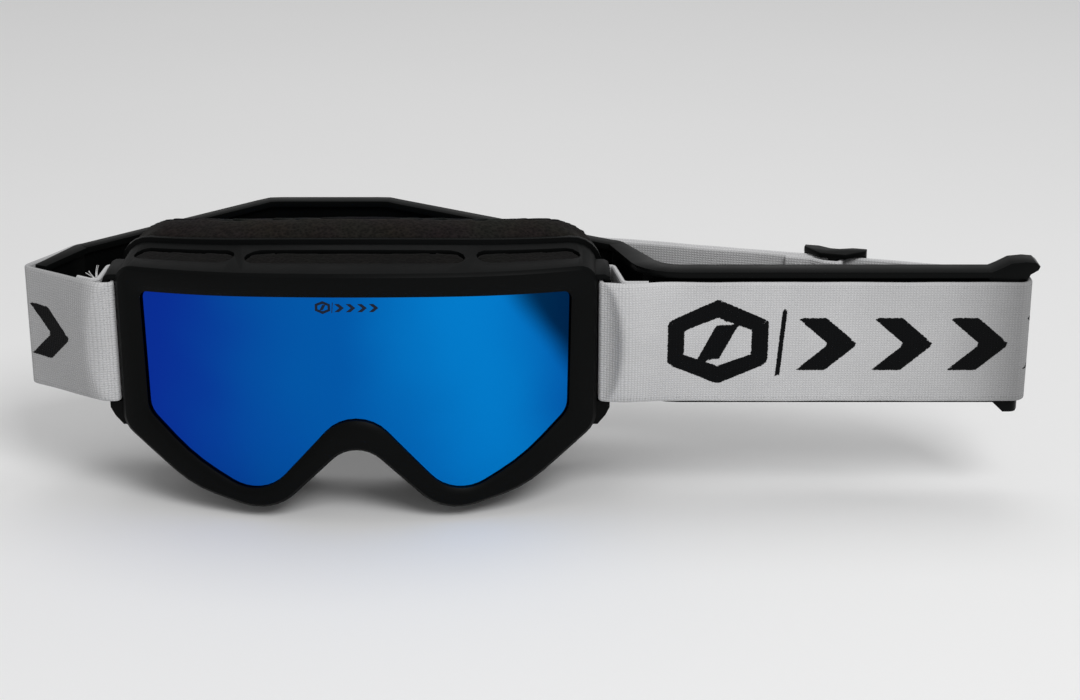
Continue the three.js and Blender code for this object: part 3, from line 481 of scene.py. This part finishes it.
def finish_piece(bm, name, material, body, *nodes, smooth_angle=None, shade=True):
    """A closed bmesh made an object that rides on a body and stands for CAD nodes."""
    mesh = bpy.data.meshes.new(name)
    bm.to_mesh(mesh)
    bm.free()
    piece = bpy.data.objects.new(name, mesh)
    bpy.context.scene.collection.objects.link(piece)
    mesh.materials.append(material)
    if shade:
        mesh.shade_smooth()
    if smooth_angle is not None:
        mesh.set_sharp_from_angle(angle=math.radians(smooth_angle))
    if body:
        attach(piece, body)
    if nodes:
        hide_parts(*nodes)
    return piece


def copy_of_node(node):
    """The CAD node's own shape as a bmesh: its loose triangles merged and its flat areas joined."""
    bm = bmesh.new()
    bm.from_mesh(frame["nodes"][node].data)
    bmesh.ops.remove_doubles(bm, verts=bm.verts, dist=0.002 * MM)
    bmesh.ops.dissolve_degenerate(bm, dist=0.002 * MM, edges=bm.edges)
    bmesh.ops.dissolve_limit(
        bm, angle_limit=math.radians(0.6), use_dissolve_boundaries=False, verts=bm.verts, edges=bm.edges, delimit=set()
    )
    return bm


def sharp_edges(bm, degrees, shortest):
    limit = math.radians(degrees)
    return [
        e for e in bm.edges
        if len(e.link_faces) == 2 and e.calc_face_angle(0) > limit and e.calc_length() > shortest
    ]


def round_edges(bm, width, degrees, segments=2):
    """Moulded edges: each edge sharper than the angle gets a small round."""
    bmesh.ops.bevel(
        bm, geom=sharp_edges(bm, degrees, 0.0), offset=width, offset_type="OFFSET", affect="EDGES",
        segments=segments, profile=0.5, material=-1, clamp_overlap=True, loop_slide=True,
    )


def rounded_route(route, step, arc_step=math.radians(10)):
    """Points along a route with rounded corners, no further apart than step, all in metres."""
    corners = [Vector((x, y)) * MM for x, y, _ in route]
    points = [corners[0]]
    for i in range(1, len(route) - 1):
        before, here, after = corners[i - 1], corners[i], corners[i + 1]
        towards = (before - here).normalized()
        away = (after - here).normalized()
        half = math.acos(max(-1.0, min(1.0, -towards.dot(away)))) / 2
        radius = route[i][2] * MM
        start = here + towards * radius * math.tan(half)
        side = 1 if towards.x * away.y - towards.y * away.x > 0 else -1
        centre = start + Vector((-towards.y, towards.x)) * side * radius
        arm = start - centre
        count = max(2, math.ceil(2 * half / arc_step))
        for k in range(count + 1):
            turn = Matrix.Rotation(-side * 2 * half * k / count, 2)
            points.append(centre + turn @ arm)
    points.append(corners[-1])
    dense = [points[0]]
    for a, b in zip(points, points[1:]):
        parts = max(1, math.ceil((b - a).length / step))
        for k in range(1, parts + 1):
            dense.append(a.lerp(b, k / parts))
    clean = [dense[0]]
    for p in dense[1:]:
        if (p - clean[-1]).length > 1e-6:
            clean.append(p)
    return clean


def strap_contour(width, thickness, round_, steps):
    """Closed contour of the strap across its length: distance to the right of the route, and height."""
    half, side = width / 2, thickness / 2
    contour = [(side, -half + round_ + (width - 2 * round_) * k / steps) for k in range(steps + 1)]
    for k in range(1, 6):
        a = math.pi * k / 6
        contour.append((side * math.cos(a), half - round_ + round_ * math.sin(a)))
    contour += [(-side, half - round_ - (width - 2 * round_) * k / steps) for k in range(steps + 1)]
    for k in range(1, 6):
        a = math.pi * k / 6
        contour.append((-side * math.cos(a), -half + round_ - round_ * math.sin(a)))
    return contour


def route_frames(points):
    """For each point of a route: its length so far, and the unit vector to its right."""
    lengths, rights = [0.0], []
    for i, p in enumerate(points):
        before = points[max(i - 1, 0)]
        after = points[min(i + 1, len(points) - 1)]
        along = (after - before).normalized()
        rights.append(Vector((along.y, -along.x)))
        if i:
            lengths.append(lengths[-1] + (p - points[i - 1]).length)
    return lengths, rights


def figure_distance(u, v, figures):
    """How far inside the woven figure a point of the strap is, in metres; negative is outside."""
    best = -0.01
    for planes in figures:
        inside = min((u - px) * nx + (v - pz) * nz for px, pz, nx, nz in planes)
        best = max(best, inside)
    return best


def half_planes(points):
    """A convex outline in mm, as points and inward normals."""
    area = sum(ax * bz - bx * az for (ax, az), (bx, bz) in zip(points, points[1:] + points[:1]))
    if area < 0:
        points = points[::-1]
    planes = []
    for (ax, az), (bx, bz) in zip(points, points[1:] + points[:1]):
        edge = Vector((bx - ax, bz - az)).normalized()
        planes.append((ax * MM, az * MM, -edge.y, edge.x))
    return planes


def chevron(u, bottom, top, width, slant):
    """A chevron that points along the strap: two slanted bars that meet at its middle."""
    middle = (bottom + top) / 2
    lower = [(u, bottom), (u + width, bottom), (u + slant + width, middle), (u + slant, middle)]
    upper = [(u + slant, middle), (u + slant + width, middle), (u + width, top), (u, top)]
    return [lower, upper]


def hexagon_badge(u, v, width, height, bar):
    """A plain hexagonal ring with a slanted bar across it."""
    parts = []
    for k in range(6):
        corners = []
        for turn, shrink in ((k, bar), (k + 1, bar), (k + 1, 0.0), (k, 0.0)):
            angle = math.radians(60 * turn)
            corners.append((u + (width / 2 - shrink) * math.sin(angle) / math.cos(math.radians(30)),
                            v + (height / 2 - shrink * 1.1547) * math.cos(angle)))
        parts.append(corners)
    low, high = v - height * 0.2, v + height * 0.2
    parts.append([(u - bar * 1.2, low), (u + bar * 0.1, low), (u + bar * 1.2, high), (u - bar * 0.1, high)])
    return parts


def long_strap_figures(fold):
    """What is woven into the long strap's face: a hexagon, a thin line and a row of chevrons; fold is where it starts."""
    figures = hexagon_badge(fold + 41.5, 0.3, 36.0, 32.0, 6.0)
    figures.append([(fold + 62.2, -12.8), (fold + 63.9, -12.8), (fold + 66.0, 12.8), (fold + 64.3, 12.8)])
    for k in range(4):
        figures += chevron(fold + 69.5 + 27.0 * k, -10.4, 9.4, 10.5, 11.5)
    return figures


def short_strap_figures(fold):
    """The same row of chevrons, where it runs out before the short strap's fold."""
    figures = []
    for k in range(3):
        figures += chevron(fold - 38.5 - 27.0 * k, -10.4, 9.4, 10.5, 11.5)
    return figures


def length_at(points, lengths, x, y):
    """Length along a route of its point nearest to x and y, given in mm."""
    target = Vector((x, y)) * MM
    return min(zip(points, lengths), key=lambda pair: (pair[0] - target).length)[1]


def crest_distance(height, half_width):
    """Distance from the slot to the crest of the strap's bulge, which bows away from the slot at mid-height."""
    return 7.4 * MM * math.sqrt(max(0.0, 1 - (height / half_width) ** 2)) + 0.2 * MM


def bulge(past_fold, height, half_width):
    """How far the strap's middle stands out just after its slot: up to the crest, then slowly back to flat."""
    if past_fold <= 0:
        return 0.0
    crest = crest_distance(height, half_width)
    top = 0.42 * crest
    if past_fold < crest:
        return top * (past_fold / crest) ** 2.2
    return top * (0.5 + 0.5 * math.cos(math.pi * min((past_fold - crest) / (34 * MM), 1.0)))


def hollow_painted_shade(past_fold, height, half_width):
    """How much shade is painted into the hollow between the strap's slot and its crest, 0 to 1."""
    crest = crest_distance(height, half_width)
    if past_fold <= 0 or past_fold > crest + 1.5 * MM:
        return 0.0
    fade = min(1.0, (crest + 1.5 * MM - past_fold) / (2.5 * MM))
    return 0.55 * fade * (0.3 + 0.7 * min(past_fold / crest, 1.0)) * crest / (7.6 * MM)


def between_stops(length, stops):
    """Value at a length along a strap, from stops of length and value in order of length."""
    for (before, low), (after, high) in zip(stops, stops[1:]):
        if before <= length <= after:
            return low + (high - low) * (length - before) / (after - before)
    return 0.0


def make_strap(name, route, material, figure_maker, folds, away=0, shade_stops=(), across=30, step=1.0 * MM):
    """One length of elastic: its contour carried along its route, with the weave's own map and woven figure."""
    s = sizes()
    points = rounded_route(route, step)
    lengths, rights = route_frames(points)
    contour = strap_contour(s.strap_width, s.strap_thickness, s.selvage, across)
    count = len(contour)
    fold_lengths = [length_at(points, lengths, x, y) for x, y in folds]
    stops = [(length_at(points, lengths, x, y), value) for x, y, value in shade_stops]
    figures = [half_planes(outline) for outline in figure_maker(fold_lengths[0] / MM)] if figure_maker else []
    bm = bmesh.new()
    weave = bm.loops.layers.uv.new("weave")
    figure = bm.verts.layers.float.new("figure")
    selvage = bm.verts.layers.float.new("selvage")
    open_fold = bm.verts.layers.float.new("fold")
    painted_shade = bm.verts.layers.float.new("painted_shade")
    bmesh.ops.create_grid(bm, x_segments=len(points) - 1, y_segments=count, size=0.5)
    perimeter = [0.0]
    for a, b in zip(contour, contour[1:] + contour[:1]):
        perimeter.append(perimeter[-1] + math.dist(a, b))
    cell = {}
    for vert in bm.verts:
        i = round((vert.co.x + 0.5) * (len(points) - 1))
        j = round((vert.co.y + 0.5) * count)
        cell[vert] = (i, j)
    for vert, (i, j) in cell.items():
        offset, height = contour[j % count]
        wave = noise.noise(Vector((lengths[i] / (26 * MM), height / (30 * MM), 3.7)))
        edge = noise.noise(Vector((lengths[i] / (14 * MM), math.copysign(8.0, height), 1.3)))
        crown = bulge(away * (lengths[i] - fold_lengths[0]), height, s.strap_width / 2) if away else 0.0
        place = points[i] + rights[i] * (offset + 0.07 * MM * wave + crown)
        height += 0.16 * MM * edge * abs(height) / (s.strap_width / 2)
        vert.co = (place.x, place.y, height)
        vert[figure] = figure_distance(lengths[i], height, figures) if offset > 0 else -0.01
        vert[selvage] = s.strap_width / 2 - abs(height)
        # Painted shade: the hollow after the slot and the stretches round the former's ends are darkened in the colour.
        hollow = hollow_painted_shade(lengths[i] - fold_lengths[0], height, s.strap_width / 2) if away > 0 else 0.0
        vert[painted_shade] = max(hollow, between_stops(lengths[i], stops))
        vert[open_fold] = max([0.0] + [1 - abs(lengths[i] - f) / (13 * MM) for f in fold_lengths])
    for face in bm.faces:
        for loop in face.loops:
            i, j = cell[loop.vert]
            loop[weave].uv = (lengths[i], perimeter[j])
    bmesh.ops.remove_doubles(bm, verts=bm.verts, dist=0.001 * MM)
    ends = [e for e in bm.edges if e.is_boundary]
    bmesh.ops.holes_fill(bm, edges=ends, sides=0)
    caps = [f for f in bm.faces if len(f.verts) > 4]
    bmesh.ops.triangulate(bm, faces=caps)
    bmesh.ops.recalc_face_normals(bm, faces=bm.faces)
    return finish_piece(bm, name, material, None, smooth_angle=50)


# ---- pieces ------------------------------------------------------------------------------------


class GOGGLES_OT_stage(bpy.types.Operator):
    """Adds the camera, the pale floor and the soft studio light"""

    bl_idname = "goggles.stage"
    bl_label = "Stage"

    def execute(self, context):
        scene = context.scene
        data = bpy.data.cameras.new("camera")
        data.sensor_width = 36.0
        data.lens = 74.667
        data.clip_start, data.clip_end = 0.01, 60.0
        camera = bpy.data.objects.new("camera", data)
        scene.collection.objects.link(camera)
        aim = Vector((0.065, -0.0235, -0.0027))
        camera.location = (0.065, -0.77525, 0.27092)
        camera.rotation_mode = "QUATERNION"
        camera.rotation_quaternion = (aim - camera.location).to_track_quat("-Z", "Y")
        scene.camera = camera

        bm = bmesh.new()
        bmesh.ops.create_grid(bm, x_segments=1, y_segments=1, size=12.0)
        lowest = min(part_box(n)[0].z for n in frame["nodes"])
        bmesh.ops.translate(bm, verts=bm.verts, vec=(0, 0, lowest - 0.0004))
        material, tree = new_material("pale_matt_floor")
        place = add_node(tree, "ShaderNodeTexCoord")
        fleck = add_node(tree, "ShaderNodeTexNoise", {"Scale": 3.0, "Detail": 3.0}, {"Vector": place.outputs["Object"]})
        tone = add_node(
            tree, "ShaderNodeMix", {"data_type": "RGBA", 6: rgba(linear(0xF0F0F0)), 7: rgba(linear(0xF4F4F4))},
            {0: fleck.outputs["Fac"]},
        )
        close_material(tree, {"Roughness": 0.9, "Specular IOR Level": 0.1}, {"Base Color": tone.outputs[2]})
        floor = finish_piece(bm, "floor", material, None)

        world = bpy.data.worlds.new("studio")
        world.use_nodes = True
        scene.world = world
        world.node_tree.nodes["Background"].inputs["Color"].default_value = (1.0, 1.0, 1.0, 1.0)
        world.node_tree.nodes["Background"].inputs["Strength"].default_value = 0.4
        scene.view_settings.view_transform = "Standard"
        for name, place, size, power in (
            ("key_softbox", (0.6, -1.1, 1.3), 0.8, 15.5),
            ("fill_softbox", (-1.3, -0.9, 1.0), 1.2, 0.5),
            ("top_softbox", (0.1, 0.5, 1.6), 1.2, 6.0),
        ):
            light = bpy.data.lights.new(name, "AREA")
            light.shape = "SQUARE"
            light.size = size
            light.energy = power
            lamp = bpy.data.objects.new(name, light)
            lamp.location = place
            lamp.rotation_euler = (Vector((0.03, 0, 0)) - Vector(place)).to_track_quat("-Z", "Y").to_euler()
            scene.collection.objects.link(lamp)
        return {"FINISHED"}


class GOGGLES_OT_frame(bpy.types.Operator):
    """Adds the moulded frame with its rounded edges"""

    bl_idname = "goggles.frame"
    bl_label = "Frame"

    def execute(self, context):
        bm = copy_of_node("goggle_frame")
        round_edges(bm, sizes().frame_bevel, 32)
        piece = finish_piece(bm, "frame_moulding", moulded_tpu(), "goggles", "goggle_frame", smooth_angle=38)
        return {"FINISHED"}


def pad_printed_ink():
    # Pad-printed ink on the mirror: dark navy, dull, with a slightly uneven film.
    material, tree = new_material("pad_printed_navy_ink")
    place = add_node(tree, "ShaderNodeTexCoord")
    film = add_node(
        tree, "ShaderNodeTexNoise", {"Scale": 1 / (0.8 * MM), "Detail": 2.0}, {"Vector": place.outputs["Object"]}
    )
    tint = add_node(
        tree, "ShaderNodeMix", {"data_type": "RGBA", 6: rgba(linear(0x040C1C)), 7: rgba(linear(0x0A1E38))},
        {0: film.outputs["Fac"]},
    )
    close_material(tree, {"Roughness": 0.5, "Specular IOR Level": 0.2}, {"Base Color": tint.outputs[2]})
    return material


def lens_front(x):
    """Depth of the lens's front at x, in the row frame."""
    return LENS_MIDDLE * MM + LENS_RADIUS * MM - math.sqrt((LENS_RADIUS * MM) ** 2 - x ** 2)


class GOGGLES_OT_lens_mark(bpy.types.Operator):
    """Adds the small plain mark printed at the lens's top edge"""

    bl_idname = "goggles.lens_mark"
    bl_label = "Lens mark"

    def execute(self, context):
        scale = 0.148
        bm = bmesh.new()
        for outline in long_strap_figures(0.0):
            corners = []
            for u, v in outline:
                x = (u * scale - 16.6) * MM
                corners.append(bm.verts.new((x, lens_front(x) - 0.02 * MM, (19.0 + v * scale) * MM)))
            face = bm.faces.new(corners)
            made = bmesh.ops.extrude_face_region(bm, geom=[face])
            raised = [v for v in made["geom"] if isinstance(v, bmesh.types.BMVert)]
            bmesh.ops.translate(bm, vec=(0, -0.05 * MM, 0), verts=raised)
        bmesh.ops.recalc_face_normals(bm, faces=bm.faces)
        piece = finish_piece(bm, "lens_mark", pad_printed_ink(), "goggles", shade=False)
        return {"FINISHED"}


class GOGGLES_OT_lens(bpy.types.Operator):
    """Adds the mirrored lens"""

    bl_idname = "goggles.lens"
    bl_label = "Lens"

    def execute(self, context):
        bm = copy_of_node("lens")
        piece = finish_piece(bm, "mirrored_lens", mirror_coating(), "goggles", "lens", smooth_angle=40)
        return {"FINISHED"}


def foam_piece(name, node, material, voxel, smoothing, lump, swell=0.0):
    """A cut foam part: the CAD shape softened, swollen to fill its seat, with an uneven open-cell skin."""
    bm = copy_of_node(node)
    piece = finish_piece(bm, name, material, None)
    remesh = piece.modifiers.new("skin", "REMESH")
    remesh.mode = "VOXEL"
    remesh.voxel_size = voxel
    soften = piece.modifiers.new("soften", "SMOOTH")
    soften.factor = 0.5
    soften.iterations = smoothing
    graph = bpy.context.evaluated_depsgraph_get()
    mesh = bpy.data.meshes.new_from_object(piece.evaluated_get(graph))
    piece.modifiers.clear()
    piece.data = mesh
    mesh.shade_smooth()
    normals = [v.normal.copy() for v in mesh.vertices]
    for vert, normal in zip(mesh.vertices, normals):
        coarse = noise.noise(vert.co / (7 * MM))
        fine = noise.noise(vert.co / (1.7 * MM))
        vert.co += normal * (swell + lump * coarse + 0.45 * lump * fine)
    mesh.update()
    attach(piece, "goggles")
    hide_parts(node)
    return piece


class GOGGLES_OT_foams(bpy.types.Operator):
    """Adds the face foam, its fleece facing and the foams in the vents"""

    bl_idname = "goggles.foams"
    bl_label = "Foams"

    def execute(self, context):
        cells = open_cell_foam("cut_open_cell_polyurethane_foam", 1.0)
        filter_cells = open_cell_foam("reticulated_polyurethane_filter_foam", 0.3)
        voxel = sizes().foam_voxel
        foam_piece("face_pad", "face_foam", cells, voxel, 3, 0.16 * MM)
        foam_piece("fleece_facing", "foam_facing", brushed_fleece(), 0.8 * voxel, 3, 0.12 * MM)
        for node in sorted(frame["nodes"]):
            if "vent_foam" in node:
                name = node.replace("_foam", "_filter")
                foam_piece(name, node, filter_cells, 0.6 * voxel, 1, 0.04 * MM, swell=0.3 * MM)
        return {"FINISHED"}


class GOGGLES_OT_straps(bpy.types.Operator):
    """Adds the three lengths of woven elastic"""

    bl_idname = "goggles.straps"
    bl_label = "Straps"

    def execute(self, context):
        material = woven_elastic()
        main = make_strap(
            "strap_long", MAIN_ROUTE, material, long_strap_figures, [(86.8, -22.6)], away=1, shade_stops=LONG_STRAP_PAINTED_SHADE
        )
        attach(main, "goggles")
        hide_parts("strap_main")

        left = make_strap(
            "strap_short", LEFT_ROUTE, material, short_strap_figures, [(-86.8, -22.6)], away=-1,
            shade_stops=SHORT_STRAP_PAINTED_SHADE,
        )
        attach(left, "goggles")
        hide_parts("strap_left")

        back = make_strap("strap_return_layer", RETURN_ROUTE, material, None, [(174.5, 3.3)])
        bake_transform(back)
        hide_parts("strap_return")
        return {"FINISHED"}


def stitch_rows(name, node, body, material):
    """Zigzag rows of lockstitch, laid where the CAD node of thread is."""
    s = sizes()
    low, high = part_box(node)
    centre = (low + high) / 2
    # the block's long upright side is z; its across direction comes from its own vertices
    verts = [Vector(v.co) for v in frame["nodes"][node].data.vertices]
    corner = min(verts, key=lambda v: v.x)
    far = max(verts, key=lambda v: v.x)
    along = Vector((far.x - corner.x, far.y - corner.y, 0))
    bm = bmesh.new()
    pitch = s.stitch_length * 0.62
    rows = int((high.z - low.z) / pitch)
    direction = along.normalized()
    width = along.length
    for row in (-1, 1):
        for k in range(rows):
            z = low.z + (k + 0.5) * (high.z - low.z) / rows
            lean = 0.42 if k % 2 else -0.42
            made = bmesh.ops.create_uvsphere(bm, u_segments=8, v_segments=6, radius=0.5)
            bmesh.ops.scale(bm, vec=(0.42 * MM, 0.42 * MM, pitch * 1.08), verts=made["verts"])
            bmesh.ops.rotate(bm, cent=(0, 0, 0), matrix=Matrix.Rotation(lean, 3, Vector((-direction.y, direction.x, 0))), verts=made["verts"])
            place = centre + direction * (row * width * 0.27)
            bmesh.ops.translate(bm, vec=(place.x, place.y, z), verts=made["verts"])
    piece = finish_piece(bm, name, material, body, node)
    return piece


def fibre(bm, root, direction, bend, length, radius):
    """One loose fibre: a thin tapering tube that curls as it leaves the strap's cut end."""
    steps = 6
    made = bmesh.ops.create_circle(bm, cap_ends=True, segments=6, radius=radius)
    turn = Vector((0, 0, 1)).rotation_difference(direction).to_matrix()
    bmesh.ops.rotate(bm, cent=(0, 0, 0), matrix=turn, verts=made["verts"])
    bmesh.ops.translate(bm, vec=root, verts=made["verts"])
    face = made["verts"][0].link_faces[0]
    centre = Vector(root)
    heading = direction.normalized()
    for k in range(steps):
        grown = bmesh.ops.extrude_discrete_faces(bm, faces=[face])
        face = grown["faces"][0]
        heading = (heading + bend / steps).normalized()
        centre = centre + heading * (length / steps)
        verts = list(face.verts)
        middle = sum((v.co for v in verts), Vector()) / len(verts)
        bmesh.ops.translate(bm, vec=centre - middle, verts=verts)
        bmesh.ops.scale(bm, vec=(0.85, 0.85, 0.85), space=Matrix.Translation(-centre), verts=verts)


class GOGGLES_OT_loose_fibres(bpy.types.Operator):
    """Adds the loose fibres at the short strap's cut end"""

    bl_idname = "goggles.loose_fibres"
    bl_label = "Loose fibres"

    def execute(self, context):
        bm = bmesh.new()
        for k in range(6):
            spread = noise.noise_vector(Vector((k * 3.1, 0.7, 5.2)))
            root = Vector((-93.2 - 0.2 * k, -13.0 - 0.5 * k, 21.0 + 0.3 * (k % 3))) * MM
            direction = Vector((-0.7, 0.1, 0.7)) + spread
            bend = Vector((-0.5, 0.1, 0.3)) + spread * 2.2
            fibre(bm, root, direction, bend, (3.4 + 2.2 * abs(spread.x)) * MM, 0.3 * MM)
        bmesh.ops.remove_doubles(bm, verts=bm.verts, dist=1e-7)
        bmesh.ops.recalc_face_normals(bm, faces=bm.faces)
        piece = finish_piece(bm, "loose_fibres", polyester_thread(), "goggles")
        return {"FINISHED"}


class GOGGLES_OT_stitching(bpy.types.Operator):
    """Adds the rows of stitches that close the strap's folds"""

    bl_idname = "goggles.stitching"
    bl_label = "Stitching"

    def execute(self, context):
        thread = polyester_thread()
        for node, body in (("tack_right", "goggles"), ("tack_left", "goggles"), ("tack_ring", "goggles"),
                           ("tack_adjuster", "adjuster")):
            stitch_rows(node.replace("tack", "stitches"), node, body, thread)
        return {"FINISHED"}


class GOGGLES_OT_former(bpy.types.Operator):
    """Adds the moulded former that keeps the strap in shape"""

    bl_idname = "goggles.former"
    bl_label = "Former"

    def execute(self, context):
        bm = copy_of_node("strap_former")
        round_edges(bm, sizes().former_bevel, 32)
        piece = finish_piece(bm, "former_moulding", moulded_abs(), "former", "strap_former", smooth_angle=38)
        return {"FINISHED"}


class GOGGLES_OT_hardware(bpy.types.Operator):
    """Adds the strap's adjuster and ring"""

    bl_idname = "goggles.hardware"
    bl_label = "Adjuster and ring"

    def execute(self, context):
        material = moulded_acetal()
        for name, node, body in (("adjuster_moulding", "strap_adjuster", "adjuster"), ("ring_moulding", "strap_ring", "goggles")):
            bm = copy_of_node(node)
            round_edges(bm, sizes().slider_bevel, 32)
            piece = finish_piece(bm, name, material, body, node, smooth_angle=38)
        return {"FINISHED"}


OPERATORS = (
    GOGGLES_OT_stage, GOGGLES_OT_frame, GOGGLES_OT_lens, GOGGLES_OT_lens_mark, GOGGLES_OT_foams, GOGGLES_OT_straps,
    GOGGLES_OT_stitching, GOGGLES_OT_loose_fibres, GOGGLES_OT_former, GOGGLES_OT_hardware,
)


class GOGGLES_PT_sidebar(bpy.types.Panel):
    """Lists the goggles' pieces and their settings"""

    bl_idname = "GOGGLES_PT_sidebar"
    bl_label = "Goggles"
    bl_space_type = "VIEW_3D"
    bl_region_type = "UI"
    bl_category = "Goggles"

    def draw(self, context):
        layout = self.layout
        for group in (context.scene.goggles_colours, context.scene.goggles_sizes):
            for name in group.bl_rna.properties.keys():
                if name not in {"rna_type", "name"}:
                    layout.prop(group, name)
        for operator in OPERATORS:
            layout.operator(operator.bl_idname)


CLASSES = (GogglesColours, GogglesSizes, *OPERATORS, GOGGLES_PT_sidebar)


def register():
    for cls in CLASSES:
        bpy.utils.register_class(cls)
    bpy.types.Scene.goggles_colours = bpy.props.PointerProperty(type=GogglesColours)
    bpy.types.Scene.goggles_sizes = bpy.props.PointerProperty(type=GogglesSizes)


def unregister():
    del bpy.types.Scene.goggles_sizes
    del bpy.types.Scene.goggles_colours
    for cls in reversed(CLASSES):
        bpy.utils.unregister_class(cls)


def main():
    """Builds the goggles piece by piece."""
    register()
    for operator in OPERATORS:
        group, name = operator.bl_idname.split(".")
        getattr(getattr(bpy.ops, group), name)()
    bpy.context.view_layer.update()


if __name__ == "__main__":
    main()
